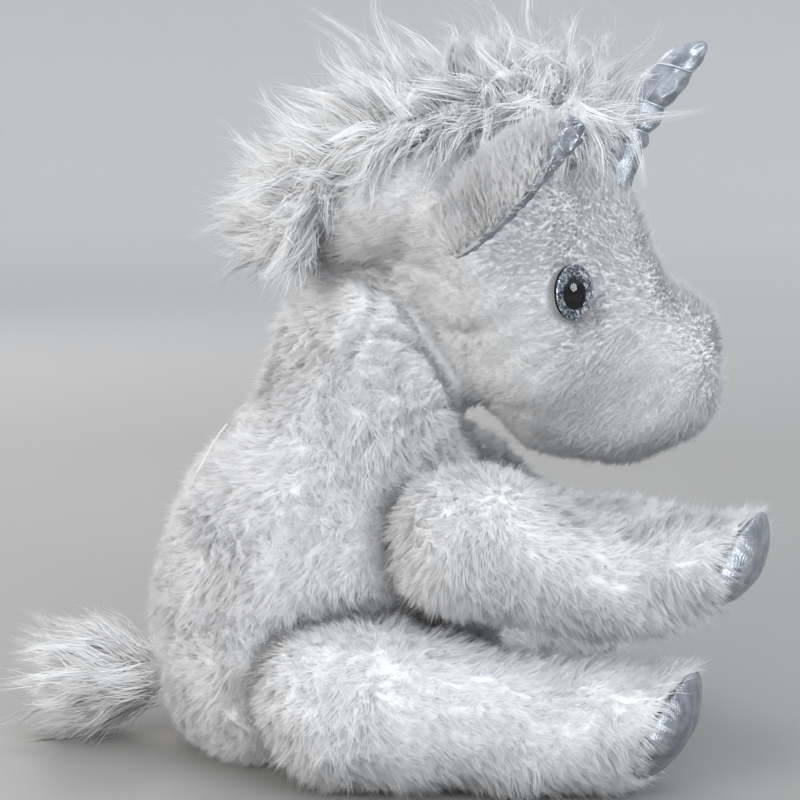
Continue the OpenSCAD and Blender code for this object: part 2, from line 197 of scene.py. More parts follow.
def grid_faces(rows, columns, closed):
    """Quads of a grid of points, row after row, whose rows may be closed rings."""
    i, j = np.meshgrid(np.arange(rows - 1), np.arange(columns if closed else columns - 1), indexing="ij")
    k = (j + 1) % columns
    here, after = i * columns, (i + 1) * columns
    return np.stack([here + j, here + k, after + k, after + j], -1).reshape(-1, 4)


class Skin:
    """A closed fabric skin: points, outward normals, triangles and a search tree."""

    def __init__(self, points, faces):
        self.points = points
        self.faces = faces
        self.triangles = np.concatenate([faces[:, [0, 1, 2]], faces[:, [0, 2, 3]]])
        self.update()

    def update(self):
        a, b, c = (self.points[self.triangles[:, k]] for k in range(3))
        facing = np.cross(b - a, c - a)
        self.area = np.linalg.norm(facing, axis=1) / 2
        normals = np.zeros_like(self.points)
        for k in range(3):
            np.add.at(normals, self.triangles[:, k], facing)
        self.normals = unit(normals)
        self.low, self.high = self.points.min(0), self.points.max(0)
        self.tree = BVHTree.FromPolygons(self.points.tolist(), self.faces.tolist())

    def relax(self, share, rounds):
        """Smooths the skin where share is above 0, which also fills its creases."""
        a, b = self.faces.ravel(), np.roll(self.faces, 1, axis=1).ravel()
        here, there = np.concatenate([a, b]), np.concatenate([b, a])
        degree = np.bincount(here)
        for _ in range(rounds):
            mean = np.stack([np.bincount(here, self.points[there, k]) / degree for k in range(3)], 1)
            self.points = self.points + (mean - self.points) * 0.7 * share[:, None]

    def part(self, kept):
        """The part of the skin whose faces have their middle where kept(point) holds."""
        faces = self.faces[kept(self.points[self.faces].mean(1))]
        used, corners = np.unique(faces, return_inverse=True)
        return Skin(self.points[used], corners.reshape(faces.shape))

    def scatter(self, count, share, rng):
        """Random places on the skin, more of them where share is higher, and their normals."""
        corners = self.points[self.triangles]
        weight = self.area * share(corners.mean(1))
        pick = rng.choice(len(weight), count, p=weight / weight.sum())
        a, b = rng.random((2, count, 1))
        a, b = np.where(a + b > 1, 1 - a, a), np.where(a + b > 1, 1 - b, b)
        mix = np.stack([1 - a - b, a, b], 1)
        return (corners[pick] * mix).sum(1), unit((self.normals[self.triangles[pick]] * mix).sum(1))


# How far round the neck's pivot the skin is smoothed and creased, the width of that edge, and the
# creases' depth; the wavelengths of the lumps and creases; the rounds of smoothing
NECK_REACH = 90
NECK_EDGE = 30
CREASE_DEPTH = 2.6
LUMP_BROAD, LUMP_FINE = 44, 17
CREASE_APART = 90
RELAX_ROUNDS = 220
# Lowest height of the skin and of a strand, so that neither sinks into the floor
SKIN_FLOOR = 0.6
STRAND_FLOOR = 0.3


def remeshed(nodes, voxel):
    """Points and quads of one closed surface round these CAD nodes."""
    joined = bmesh.new()
    for node in nodes:
        joined.from_mesh(frame["nodes"][node].data)
    mesh = bpy.data.meshes.new("work")
    joined.to_mesh(mesh)
    joined.free()
    obj = bpy.data.objects.new("work", mesh)
    bpy.context.scene.collection.objects.link(obj)
    remesh = obj.modifiers.new("Remesh", "REMESH")
    remesh.mode = "VOXEL"
    remesh.voxel_size = voxel * MM
    soften = obj.modifiers.new("Soften", "SMOOTH")
    soften.iterations = 4
    made = obj.evaluated_get(bpy.context.evaluated_depsgraph_get()).to_mesh()
    points = np.array([v.co for v in made.vertices]) / MM
    faces = np.array([p.vertices[:] for p in made.polygons])
    bpy.data.objects.remove(obj)
    return points, faces


def make_skin(nodes, voxel, inset, lumps, bulges=()):
    """One closed skin round these CAD nodes, set in from them, softened and a little lumpy.

    It is smoothed most round the neck, where soft creases then cross it. Each bulge is a middle,
    a reach and a height, which is below 0 for a dent.
    """
    points, faces = remeshed(nodes, voxel)
    skin = Skin(points, faces)
    near_neck = np.clip((NECK_REACH - np.linalg.norm(points - NECK_AT, axis=1)) / NECK_EDGE, 0, 1)
    skin.relax(0.02 + 0.98 * near_neck, RELAX_ROUNDS)
    skin.update()
    broad = waves(points, LUMP_BROAD, nodes[0])[:, 0]
    fine = waves(points, LUMP_FINE, nodes[0] + "fine")[:, 0]
    swell = broad * lumps + fine * lumps * 0.2
    for k in range(3):
        crease = np.exp(-(waves(points, CREASE_APART, f"crease_{k}")[:, 0] / 0.16) ** 2)
        swell -= CREASE_DEPTH * near_neck * crease
    for middle, reach, height in bulges:
        swell += height * np.exp(-((points - middle) ** 2).sum(1) / (2 * reach ** 2))
    skin.points += skin.normals * (swell - inset)[:, None]
    skin.points[:, 2] = np.maximum(skin.points[:, 2], SKIN_FLOOR)
    skin.update()
    return skin


# --- Strands: the short pile and the long hair ---

# Name of the map that holds each strand's shade and the distance along it
STRAND_MAP = "OFBake"


def add_strands(name, paths, half_width, outward, shade, material, body):
    """Three-sided tapered strands along paths of shape (strands, points, 3), in one mesh.

    Their normals lean towards outward, so that light rolls over the pile as over one soft surface.
    """
    count, steps = paths.shape[:2]
    ahead = unit(np.gradient(paths, axis=1))
    side = unit(np.cross(ahead, outward[:, None, :] + 0.3 * seeded(name).normal(size=(count, 1, 3))))
    lift = np.cross(ahead, side)
    t = np.linspace(0, 1, steps)
    width = half_width[:, None] * (1 - t ** 2.2)
    rings, normals = [], []
    for angle in np.radians([90, 210, 330]):
        spoke = side * math.cos(angle) + lift * math.sin(angle) * 0.7
        rings.append(paths + spoke * width[..., None])
        normals.append(unit(outward[:, None, :] + spoke * 0.4 + ahead * 0.1))
    rings, normals = np.stack(rings, 2), np.stack(normals, 2)
    body_points = rings[:, :-1].reshape(count, -1, 3)
    points = np.concatenate([body_points, paths[:, -1:]], 1).reshape(-1, 3)
    tips = unit(outward * 0.8 + ahead[:, -1] * 0.4)[:, None]
    normal = np.concatenate([normals[:, :-1].reshape(count, -1, 3), tips], 1).reshape(-1, 3)
    points[:, 2] = np.maximum(points[:, 2], STRAND_FLOOR)

    per = 3 * (steps - 1) + 1
    quads, tris = [], []
    around = [(0, 1), (1, 2), (2, 0)]
    for i in range(0, 3 * (steps - 2), 3):
        quads += [[i + j, i + k, i + 3 + k, i + 3 + j] for j, k in around]
    tris += [[per - 4 + j, per - 4 + k, per - 1] for j, k in around]
    first = np.arange(count)[:, None, None] * per
    faces = [(np.array(sort) + first).reshape(-1, len(sort[0])) for sort in (quads, tris) if sort]
    obj = add_mesh(name, points, faces, material, body)

    step = 0.012
    u = np.repeat(shade[:, None] * 0.95, per, 1) + np.append(np.tile([0, step, 2 * step], steps - 1), step)
    v = np.repeat(np.append(np.repeat(t[:-1], 3), 1)[None], count, 0)
    place = np.stack([u, v], -1).reshape(-1, 2).astype(np.float32)
    corners = np.concatenate([f.ravel() for f in faces])
    obj.data.uv_layers.new(name=STRAND_MAP).data.foreach_set("uv", place[corners].ravel())
    obj.data.normals_split_custom_set_from_vertices(normal.tolist())
    return obj


def room_above(points, normals, others, reach):
    """Free distance along each normal before one of the other skins, at most reach."""
    room = np.full(len(points), float(reach))
    for other in others:
        near = ((points > other.low - reach) & (points < other.high + reach)).all(1)
        for i in np.flatnonzero(near):
            distance = other.tree.ray_cast(Vector(points[i]), Vector(normals[i]), reach)[3]
            if distance is not None:
                room[i] = min(room[i], distance)
    return room


def clumps(roots, size):
    """For each root, the number of the root that leads its tuft."""
    tree = KDTree((len(roots) - 1) // size + 1)
    for i in range(0, len(roots), size):
        tree.insert(roots[i], i)
    tree.balance()
    return np.array([tree.find(p)[1] for p in roots])


# How far off another skin makes the pile stand differently
CREASE_REACH = 14
# Pile: how far strands lie over at the root and then bend, in degrees; the share and extra length
# of stray ones; the wavelengths of its swirls
RISE_LOW, RISE_HIGH = 5, 38
PILE_BEND = 44
STRAY_SHARE = 0.1
STRAY_LENGTH = 1.45
SWIRL_BROAD, SWIRL_FINE = 46, 17


def grow_pile(name, skin, share, count, length, flow, body, neighbours=(), *, swirl, tuft, ruffle, thick,
              pieces=1):
    """Short pile on part of a skin, lying along flow, ruffled, and gathered into small tufts.

    It stands out sideways, and longer, in the creases between the skin and its neighbours. Share
    and flow are functions of where the strands are rooted; length is one too, or a number in mm.
    """
    rng = seeded(name)
    roots, up = skin.scatter(count, share, rng)
    room = room_above(roots, up, neighbours, CREASE_REACH) / CREASE_REACH
    lead = clumps(roots, tuft)
    heading = unit(flow(roots)) + swirl * waves(roots, SWIRL_BROAD, name)
    heading = heading + 0.6 * swirl * waves(roots, SWIRL_FINE, name + "fine")
    heading += ruffle * rng.normal(size=roots.shape)
    heading = 0.4 * heading + 0.6 * heading[lead]
    heading = unit(heading - up * dots(heading, up))
    own_rise, tuft_rise = rng.uniform(RISE_LOW, RISE_HIGH, (2, count))
    rise = own_rise * 0.5 + tuft_rise[lead] * 0.5
    start = np.radians(rise)[:, None]
    end = np.radians(rise + PILE_BEND)[:, None]
    aside = np.stack([0 * room, np.sign(roots[:, 1]), 0.2 + 0 * room], -1) * (1.6 * (1 - room))[:, None]
    d0 = unit(up * np.cos(start) + heading * np.sin(start) + aside)
    d1 = unit(up * np.cos(end) + heading * np.sin(end) + aside)
    length = length(roots) if callable(length) else length
    stray = np.where(rng.random(count) < STRAY_SHARE, STRAY_LENGTH, 1)
    size = (length * rng.uniform(0.7, 1.15, count) * rng.uniform(0.8, 1.2, count)[lead] * stray
            * np.interp(room, [0, 0.2, 0.45, 1], [0.3, 0.8, 1.5, 1]))[:, None]
    tip = roots + size * (d0 + d1) / 2
    pull = np.clip(tip[lead] - tip, -3, 3) * rng.uniform(0.1, 0.5, (count, 1)) * room[:, None]
    t = np.array([0.0, 1.0])[:, None, None]
    paths = roots - up + size * (d0 * t + (d1 - d0) * t ** 2 / 2) + pull * t ** 1.5
    paths = paths.transpose(1, 0, 2)
    shade = np.clip(0.5 + 0.16 * rng.normal(size=count) + 0.14 * rng.normal(size=count)[lead], 0, 1)
    half = rng.uniform(0.7, 1.25, count) * thick
    for k in range(pieces):
        own = slice(k, None, pieces)
        add_strands(f"{name}_{k + 1}", paths[own], half[own], up[own], shade[own], PILE, body)


# --- Materials ---

class Paint:
    """A Principled material and the node chains that the toy's materials share."""

    def __init__(self, name, **values):
        self.material = bpy.data.materials.new(name)
        self.material.use_nodes = True
        self.tree = self.material.node_tree
        self.shader = self.tree.nodes["Principled BSDF"]
        for key, value in values.items():
            self.shader.inputs[key.replace("_", " ").title().replace("Ior", "IOR")].default_value = value

    def node(self, kind, **settings):
        made = self.tree.nodes.new(kind)
        for key, value in settings.items():
            if key in made.inputs:
                made.inputs[key].default_value = value
            else:
                setattr(made, key, value)
        return made

    def link(self, source, target):
        self.tree.links.new(source, target)
        return target.node

    def place(self):
        """Coordinates in the toy's own frame, which stay with a piece as it moves."""
        return self.node("ShaderNodeTexCoord").outputs["Object"]

    def noise(self, scale, detail=3.0, stretch=None):
        made = self.node("ShaderNodeTexNoise", Scale=scale, Detail=detail)
        where = self.place()
        if stretch:
            scaled = self.node("ShaderNodeMapping")
            scaled.inputs["Scale"].default_value = stretch
            self.link(where, scaled.inputs["Vector"])
            where = scaled.outputs["Vector"]
        self.link(where, made.inputs["Vector"])
        return made.outputs["Fac"]

    def ramp(self, source, *stops):
        made = self.node("ShaderNodeValToRGB")
        ramp = made.color_ramp
        while len(ramp.elements) < len(stops):
            ramp.elements.new(0.5)
        for element, (at, colour) in zip(ramp.elements, stops):
            element.position = at
            element.color = (*colour, 1) if len(colour) == 3 else colour
        self.link(source, made.inputs["Fac"])
        return made.outputs["Color"]

    def math(self, operation, a, b):
        made = self.node("ShaderNodeMath", operation=operation)
        for socket, value in zip(made.inputs, (a, b)):
            if isinstance(value, (int, float)):
                socket.default_value = value
            else:
                self.link(value, socket)
        return made.outputs[0]

    def multiply(self, a, b):
        made = self.node("ShaderNodeMix", data_type="RGBA", blend_type="MULTIPLY")
        made.inputs[0].default_value = 1
        self.link(a, made.inputs[6])
        self.link(b, made.inputs[7])
        return made.outputs[2]

    def colour(self, source):
        self.link(source, self.shader.inputs["Base Color"])

    def bump(self, height, distance, strength=1.0):
        made = self.node("ShaderNodeBump", Strength=strength, Distance=distance * MM)
        self.link(height, made.inputs["Height"])
        self.link(made.outputs["Normal"], self.shader.inputs["Normal"])


def grey(value, tint=(1, 1, 1)):
    return tuple(value * t for t in tint)


def strand_paint(name, root, tip, **values):
    """Paint for strands: darker towards the root as painted shade deep in the fur, and each strand with a
    random tone of its own.
    """
    paint = Paint(name, **values)
    where = paint.node("ShaderNodeUVMap", uv_map=STRAND_MAP)
    split = paint.node("ShaderNodeSeparateXYZ")
    paint.link(where.outputs["UV"], split.inputs[0])
    middle = tuple((2 * b + a) / 3 for a, b in zip(root, tip))
    # Painted shade: the colour darkens from tip to root, where the fur is deep.
    length = paint.ramp(split.outputs["Y"], (0, root), (0.45, middle), (0.9, tip))
    shade = paint.ramp(split.outputs["X"], (0, grey(0.8, (1, 0.99, 0.98))), (0.5, grey(0.95)), (1, grey(1)))
    paint.colour(paint.multiply(length, shade))
    return paint.material


def cloth_paint(name, low, high, grain, **values):
    """Plain knitted or pressed fibre: two tones of one colour and a fine grain."""
    paint = Paint(name, **values)
    tone = paint.noise(90)
    paint.colour(paint.ramp(tone, (0.3, low), (0.7, high)))
    paint.bump(paint.noise(grain), 0.4, 0.6)
    return paint.material


def plastic_paint(name, low, high, **values):
    """Smooth moulded plastic, very slightly uneven in colour."""
    paint = Paint(name, **values)
    paint.colour(paint.ramp(paint.noise(60), (0.3, low), (0.7, high)))
    return paint.material


def lame_paint():
    """Woven metallic fabric: fine ribs one way, a looser weave the other, patchy shine, and painted
    highlights and dark reflections.
    """
    paint = Paint("Silver_lame", metallic=0.9, roughness=0.3, anisotropic=0.3)
    # Painted highlights and dark reflections: patches of the colour run from dark to light grey.
    tones = (0.25, (0.24, 0.26, 0.29)), (0.5, (0.38, 0.4, 0.44)), (0.75, (0.58, 0.6, 0.64))
    paint.colour(paint.ramp(paint.noise(140, 4), *tones))
    rough = paint.ramp(paint.noise(260), (0.3, grey(0.16)), (0.7, grey(0.3)))
    paint.link(rough, paint.shader.inputs["Roughness"])
    ribs = paint.node("ShaderNodeTexWave", Scale=620.0, Distortion=1.5, bands_direction="Z")
    across = paint.node("ShaderNodeTexWave", Scale=500.0, Distortion=1.0, bands_direction="Y")
    for wave in (ribs, across):
        paint.link(paint.place(), wave.inputs["Vector"])
    weave = paint.math("ADD", ribs.outputs["Fac"], paint.math("MULTIPLY", across.outputs["Fac"], 0.5))
    paint.bump(weave, 0.16, 0.7)
    return paint.material


def glitter_paint():
    """Silver-blue glitter flakes set in clear lacquer."""
    paint = Paint("Eye_glitter", metallic=0.7, roughness=0.3)
    flakes = paint.node("ShaderNodeTexVoronoi", Scale=1100.0)
    paint.link(paint.place(), flakes.inputs["Vector"])
    tone = paint.node("ShaderNodeSeparateColor")
    paint.link(flakes.outputs["Color"], tone.inputs[0])
    tones = (0, (0.03, 0.04, 0.07)), (0.5, (0.25, 0.3, 0.37)), (0.8, (0.95, 0.97, 1))
    paint.colour(paint.ramp(tone.outputs[0], *tones))
    paint.bump(tone.outputs[1], 0.25, 0.7)
    return paint.material


# Both strand paints are darker at the root than at the tip: painted shade deep in the pile and the hair.
PILE = strand_paint("White_pile", grey(0.89), grey(0.96), roughness=0.7, sheen_weight=0.25)
HAIR = strand_paint("Long_white_hair", grey(0.86), grey(0.96), roughness=0.42, sheen_weight=0.3)
# Ground under the pile, a little darker than the pile: painted shade for the depth of the fur; its two
# random tones are its own.
PLUSH_SHADED_GROUND = cloth_paint("White_plush_ground", grey(0.82), grey(0.9), 900, roughness=0.9)
BACKING = cloth_paint("White_backing", (0.72, 0.71, 0.69), (0.82, 0.81, 0.79), 1400, roughness=0.85)
WHITE_THREAD = cloth_paint("White_thread", (0.78, 0.77, 0.75), (0.88, 0.87, 0.85), 2600, roughness=0.6)
SILVER_THREAD = cloth_paint("Silver_thread", (0.5, 0.54, 0.6), (0.8, 0.84, 0.9), 2400,
                            roughness=0.3, metallic=0.8)
BLACK_PLASTIC = plastic_paint("Black_plastic", grey(0.002), grey(0.004),
                              roughness=0.6, specular_ior_level=0.1)
WHITE_PLASTIC = plastic_paint("White_plastic", grey(0.74), grey(0.82), roughness=0.45)
LAME = lame_paint()
GLITTER = glitter_paint()


def clear_paint():
    """Polished clear plastic."""
    paint = Paint("Clear_dome", roughness=0.03, ior=1.4, transmission_weight=1.0)
    paint.colour(paint.ramp(paint.noise(40), (0.3, (0.97, 0.98, 1)), (0.7, (1, 1, 1))))
    return paint.material


CLEAR = clear_paint()


# --- The stuffed bodies ---

def body_nodes(body, *kinds):
    """CAD nodes of a body whose names start with any of these words."""
    return [n for n in frame["record"]["behaviour"]["bodies"][body] if n.startswith(kinds)]


def before_split(p):
    """Which points lie on the torso's side of the split across the neck."""
    return (p - SPLIT_AT) @ SPLIT_WAY < 0


def after_split(p):
    return ~before_split(p)


# Middle, reach and height of a dent above the muzzle, the brow, the bridge of the nose, and the
# fullness on both sides of the neck
BULGES = [((164, 0, 237), 13, -3.5), ((160, 0, 262), 12, 2.0), ((184, 0, 214), 11, 2.5),
          ((24, -40, 227), 21, 10), ((24, 40, 227), 21, 10)]

# One skin runs over torso, neck and head; each limb has a skin of its own
TORSO_NODES = body_nodes("torso", "base", "torso") + body_nodes("neck", "neck")
HEAD_NODES = body_nodes("head", "cheek", "nape", "head")
TRUNK = make_skin(TORSO_NODES + HEAD_NODES, voxel=3.0, inset=0.4, lumps=0.9, bulges=BULGES)
SKINS = {}
for limb in LIMBS:
    kind, which = limb.split("_")
    limb_nodes = [f"{kind}_skin_{which}", f"{kind}_stuffing_{which}"]
    SKINS[limb] = make_skin(limb_nodes, voxel=2.8, inset=1.5, lumps=1.0)


def limb_body(limb):
    kind, which = limb.split("_")
    return f"{which}_{kind}"


def add_skin(name, skin, body, fill, *nodes):
    """A padded plush skin that stands for these CAD nodes."""
    obj = add_mesh(name, skin.points, [skin.faces], PLUSH_SHADED_GROUND, body)
    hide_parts(*nodes)
    return obj


def limb_place(limb, points):
    """Moves points from a limb's own frame, along +X from its ball, to their place at rest."""
    form = LIMBS[limb]
    side = SIDES[limb.split("_")[1]]
    placed = turn(turn(points, "Y", form["droop"]), "Z", form["splay"]) + np.array(form["pivot"])
    return mirrored(placed, side)


def torso_share(side):
    """Pile on one side of the torso, and little of it underneath."""
    return lambda p: (p[:, 1] * side > 0) * np.where(p[:, 2] < 2, 0.2, 1)


def torso_flow(p):
    """Down and slightly back, and away from the seam down the back."""
    away = np.sign(p[:, 1]) * np.exp(-np.abs(p[:, 1]) / 6) * (p[:, 0] < 0) * 1.2
    return np.stack([np.full(len(p), -0.35), away, np.full(len(p), -1.0)], 1)


def eye_frame(side):
    """The eye's middle, the direction it looks in, and two directions across it."""
    look = turn(turn(np.array([0, 0, 1.0]), "Y", 90 - EYE_TILT), "Z", 90 - EYE_TURN)
    across = unit(np.cross([0, 0, 1.0], look))
    up = np.cross(look, across)
    return tuple(mirrored(v, side) for v in (EYE_AT, look, across, up))


def head_share(side):
    """More pile on the face, and none under the eye or the horn."""
    middle, look = eye_frame(side)[:2]

    def share(p):
        off_eye = p - middle
        aside = np.linalg.norm(off_eye - np.outer(off_eye @ look, look), axis=1)
        under_eye = (aside < EYE_R - 0.8) & (np.abs(off_eye @ look) < 12)
        under_horn = np.linalg.norm(p - HORN_AT, axis=1) < 7
        face = 0.55 + 0.45 * np.clip((p[:, 0] - 40) / 60, 0, 1)
        return np.where(under_eye | under_horn, 0, face) * (p[:, 1] * side > 0)

    return share


def head_length(p):
    """Very short on the face, longer towards the neck and where it laps over the eyes."""
    lap = np.linalg.norm(np.stack([p[:, 0], np.abs(p[:, 1]), p[:, 2]], 1) - EYE_AT - [9, -9, -7], axis=1)
    return 6 + 4 * np.clip((75 - p[:, 0]) / 60, 0, 1) + 6 * np.clip((14 - lap) / 7, 0, 1)


def head_flow(p):
    """Back from the nose, over the whole head."""
    return unit(p - NOSE_AT) + np.array([-0.2, 0, -0.12])


def limb_flow(limb):
    """Towards the paw, but round the limb's root the same way as on the torso beside it."""
    start, end = limb_place(limb, np.array([[0.0, 0, 0], [400, 0, -60]]))
    ahead = unit(end - start)

    def flow(p):
        share = np.clip(((p - start) @ ahead + 10) / 50, 0, 1)[:, None]
        return share * unit(end - p) + (1 - share) * unit(torso_flow(p)) + np.array([0, 0, -0.25])

    return flow


def build_bodies():
    """Skin and pile of the torso, the head and the four limbs."""
    torso, head = TRUNK.part(before_split), TRUNK.part(after_split)
    add_skin("torso_skin", torso, "torso_to_neck", 0.6, *TORSO_NODES)
    add_skin("head_skin", head, "neck_to_head", 0.75, *HEAD_NODES)
    limbs = list(SKINS.values())
    for which, side in SIDES.items():
        grow_pile(f"torso_pile_{which}", torso, torso_share(side), TORSO_STRANDS, 9.5, torso_flow,
                  "torso_to_neck", limbs, swirl=0.5, tuft=34, ruffle=0.7, thick=0.16, pieces=2)
        grow_pile(f"head_pile_{which}", head, head_share(side), HEAD_STRANDS, head_length, head_flow,
                  "neck_to_head", swirl=0.15, tuft=8, ruffle=0.25, thick=0.13, pieces=2)
    for limb in LIMBS:
        skin = SKINS[limb]
        body = limb_body(limb)
        others = [TRUNK] + [s for s in limbs if s is not skin]
        kind, which = limb.split("_")
        add_skin(f"{limb}_plush", skin, body, 0.6, f"{kind}_skin_{which}", f"{kind}_stuffing_{which}")
        grow_pile(f"{limb}_pile", skin, sole_share(limb), LIMB_STRANDS, sole_trim(limb), limb_flow(limb),
                  body, others, swirl=0.3, tuft=26, ruffle=0.5, thick=0.18)


def sole_share(limb):
    """No pile on the closed end of a limb, where the sole pad is."""
    form = LIMBS[limb]
    middle, facing = sole_frame(limb)

    def share(p):
        off = p - middle
        depth = off @ facing
        aside = np.linalg.norm(off - np.outer(depth, facing), axis=1)
        return np.where((depth > -4) & (aside < form["pad_r"] + 0.5), 0, 1)

    return share


def sole_trim(limb):
    """Length of a limb's pile, which is longer where it laps over the rim of the sole."""
    middle, facing = sole_frame(limb)
    return lambda p: 9 + 3 * np.clip(1 + ((p - middle) @ facing) / 12, 0, 1)


def sole_frame(limb):
    """Middle of a limb's open end at rest, and the direction that its sole faces."""
    form = LIMBS[limb]
    middle = np.array([form["end"][0], 0, form["end"][1]], float)
    facing = turn(turn(np.array([1.0, 0, 0]), "Y", form["pitch"]), "Z", form["yaw"])
    placed = limb_place(limb, np.array([middle, middle + facing]))
    return placed[0], placed[1] - placed[0]


def tube(path, radius, sides, crinkle=0.0):
    """Points and faces of a closed round tube along a path, its wall crinkled by up to this much."""
    ahead = unit(np.gradient(path, axis=0))
    spoke = unit(np.cross(ahead, [0.1, 0.2, 1.0]))
    other = np.cross(ahead, spoke)
    a = np.linspace(0, 2 * math.pi, sides, endpoint=False)
    r = np.broadcast_to(radius, len(path))[:, None]
    s = np.linspace(0, 1, len(path))[:, None]
    r = r + crinkle * np.minimum(r / 3, 1) * np.sin(60 * s + 3 * a) * np.sin(23 * s - 2 * a)
    around = spoke[:, None] * np.cos(a)[:, None] + other[:, None] * np.sin(a)[:, None]
    ring = path[:, None] + r[..., None] * around
    faces = [grid_faces(len(path), sides, True), np.arange(sides)[None, ::-1],
             np.arange(sides)[None] + (len(path) - 1) * sides]
    return ring.reshape(-1, 3), faces


# --- Sole pads ---

def build_pads():
    """Crowned metallic pads, puckered where they are gathered into the seam."""
    rings, spokes = 26, 144
    rise, thickness = 9.5, 1.4
    for limb, form in LIMBS.items():
        kind, which = limb.split("_")
        radius = form["pad_r"]
        r = np.linspace(0.02, 1.02, rings)[:, None]
        a = np.linspace(0, 2 * math.pi, spokes, endpoint=False)[None]
        rng = seeded(limb)
        pucker = sum(np.cos(a * k + rng.uniform(0, 6)) for k in (17, 23, 31)) / 3
        crown = rise * (1 - r ** 2.4) + 0.9 * pucker * np.clip(r - 0.35, 0, 1) ** 1.5
        crown += 0.5 * np.sin(3 * a + rng.uniform(0, 6)) * r
        disc = [crown - 0.5 + 0 * a, radius * r * np.cos(a), radius * r * np.sin(a)]
        outer = np.stack(disc, -1).reshape(-1, 3)
        points = np.concatenate([outer, outer - np.array([thickness, 0, 0])])
        front = grid_faces(rings, spokes, True)
        n = rings * spokes
        j = np.arange(spokes)
        k = (j + 1) % spokes
        rim = np.stack([n - spokes + j, n - spokes + k, 2 * n - spokes + k, 2 * n - spokes + j], -1)
        faces = [front, front[:, ::-1] + n, rim, j[None], j[None, ::-1] + n]
        points = turn(turn(points, "Y", form["pitch"]), "Z", form["yaw"])
        points = limb_place(limb, points + np.array([form["end"][0], 0, form["end"][1]]))
        end = kind.removesuffix("leg")
        pad = add_mesh(f"{end}_pad_lame_{which}", points, facing_out(points, faces), LAME, limb_body(limb))
        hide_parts(f"{end}_pad_{which}")


# --- Horn ---

def horn_point(t, a, r):
    """Point of the horn at height t and angle a, at this radius, at rest; below 0 it is straight."""
    bent = np.maximum(t, 0)
    slope = np.arctan(TIP_LEAN * 1.8 * bent ** 0.8 / HORN_L)
    x = TIP_LEAN * bent ** 1.8 + r * np.cos(a) * np.cos(slope)
    z = HORN_L * t - r * np.cos(a) * np.sin(slope)
    return turn(np.stack([x, r * np.sin(a), z], -1), "Y", HORN_LEAN) + HORN_AT


def horn_turns(t):
    return THREAD_TURNS * np.sqrt(np.maximum(t, 0))


def horn_width(t):
    return HORN_R * (1 - 0.2 * t) * np.maximum(0, 1 - t ** 6) ** 0.7


def build_horn():
    """Puffed metallic cover, drawn in by a thread that winds up it."""
    rows, spokes = 230, 72
    t = np.linspace(-0.42, 0.995, rows)[:, None]
    a = np.linspace(0, 2 * math.pi, spokes, endpoint=False)[None]
    phase = horn_turns(t) - a / (2 * math.pi)
    wound = np.clip(t * 9, 0, 1)
    wave = np.abs(np.sin(math.pi * phase)) ** 0.55 * wound + 0.75 * (1 - wound)
    crinkle = (np.sin(7 * a + 15 * t) * np.sin(4 * a - 21 * t) + np.sin(5 * a - 33 * t)) * 0.3 * wave
    gather = np.sin(34 * a + 5 * np.sin(6 * phase)) * np.exp(-3.2 * wave) * 0.55
    radius = horn_width(t) * (0.78 + 0.25 * wave) + crinkle + gather * np.clip(1.05 - t, 0, 1)
    points = horn_point(t + 0 * a, a + 0 * t, np.maximum(radius, 0.15)).reshape(-1, 3)
    faces = grid_faces(rows, spokes, True)
    ends = [np.arange(spokes)[None, ::-1], np.arange(spokes)[None] + (rows - 1) * spokes]
    cover = add_mesh("horn_cover_lame", points, facing_out(points, [faces, *ends]), LAME, "horn")
    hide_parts("horn_cover", "horn_stuffing")

    t = np.linspace(0.03, 0.95, 240)
    path = horn_point(t, 2 * math.pi * horn_turns(t), horn_width(t) * 0.78 + 0.6)
    points, faces = tube(path, 0.5, 8)
    thread = add_mesh("horn_winding", points, facing_out(points, faces), SILVER_THREAD, "horn")
    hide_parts("horn_thread")


# --- Ears ---

EAR_ALONG = unit(np.array([0.51, 0.36, 0.78]))
EAR_ACROSS = unit(np.cross(EAR_ALONG, [-0.85, 0.34, 0.4]))
EAR_OUT = np.cross(EAR_ACROSS, EAR_ALONG)


def ear_point(u, v, depth):
    """Point of the left ear: u along it, v across it, depth in mm out of its furry back."""
    half = EAR_W / 2 * (0.42 + 0.58 * np.sin(math.pi * u ** 0.85 * 0.97) ** 0.8) * (1 - 0.8 * u ** 6)
    out = -0.2 * half * v ** 2 - 10 * u ** 4 + depth
    return (EAR_AT + EAR_ALONG * (EAR_L * u)[..., None] + EAR_ACROSS * (half * v - 19 * u ** 2)[..., None]
            + EAR_OUT * out[..., None])


def ear_sheet(low, high, wrinkle, name):
    """Closed sheet of the left ear between two depths, with fine gathers near its edge."""
    rows, columns = 72, 56
    u, v = np.meshgrid(np.linspace(0.03, 1, rows), np.linspace(-1, 1, columns), indexing="ij")
    edge = np.clip((np.maximum(np.abs(v), u ** 3) - 0.55) / 0.45, 0, 1)
    rng = seeded(name)
    gather = sum(np.sin(k * u * 6.3 + rng.uniform(0, 6) + v * 2) for k in (7, 11, 16)) / 3 * edge * wrinkle
    ease = 1 - 0.35 * edge ** 4
    top = ear_point(u, v, high * ease + gather)
    bottom = ear_point(u, v, low * ease + gather)
    n = rows * columns
    front = grid_faces(rows, columns, False)
    index = np.arange(n).reshape(rows, columns)
    loop = np.concatenate([index[0, :-1], index[:-1, -1], index[-1, :0:-1], index[:0:-1, 0]])
    after = np.roll(loop, -1)
    rim = np.stack([loop, after, after + n, loop + n], -1)
    return np.concatenate([top.reshape(-1, 3), bottom.reshape(-1, 3)]), [front[:, ::-1], front + n, rim]


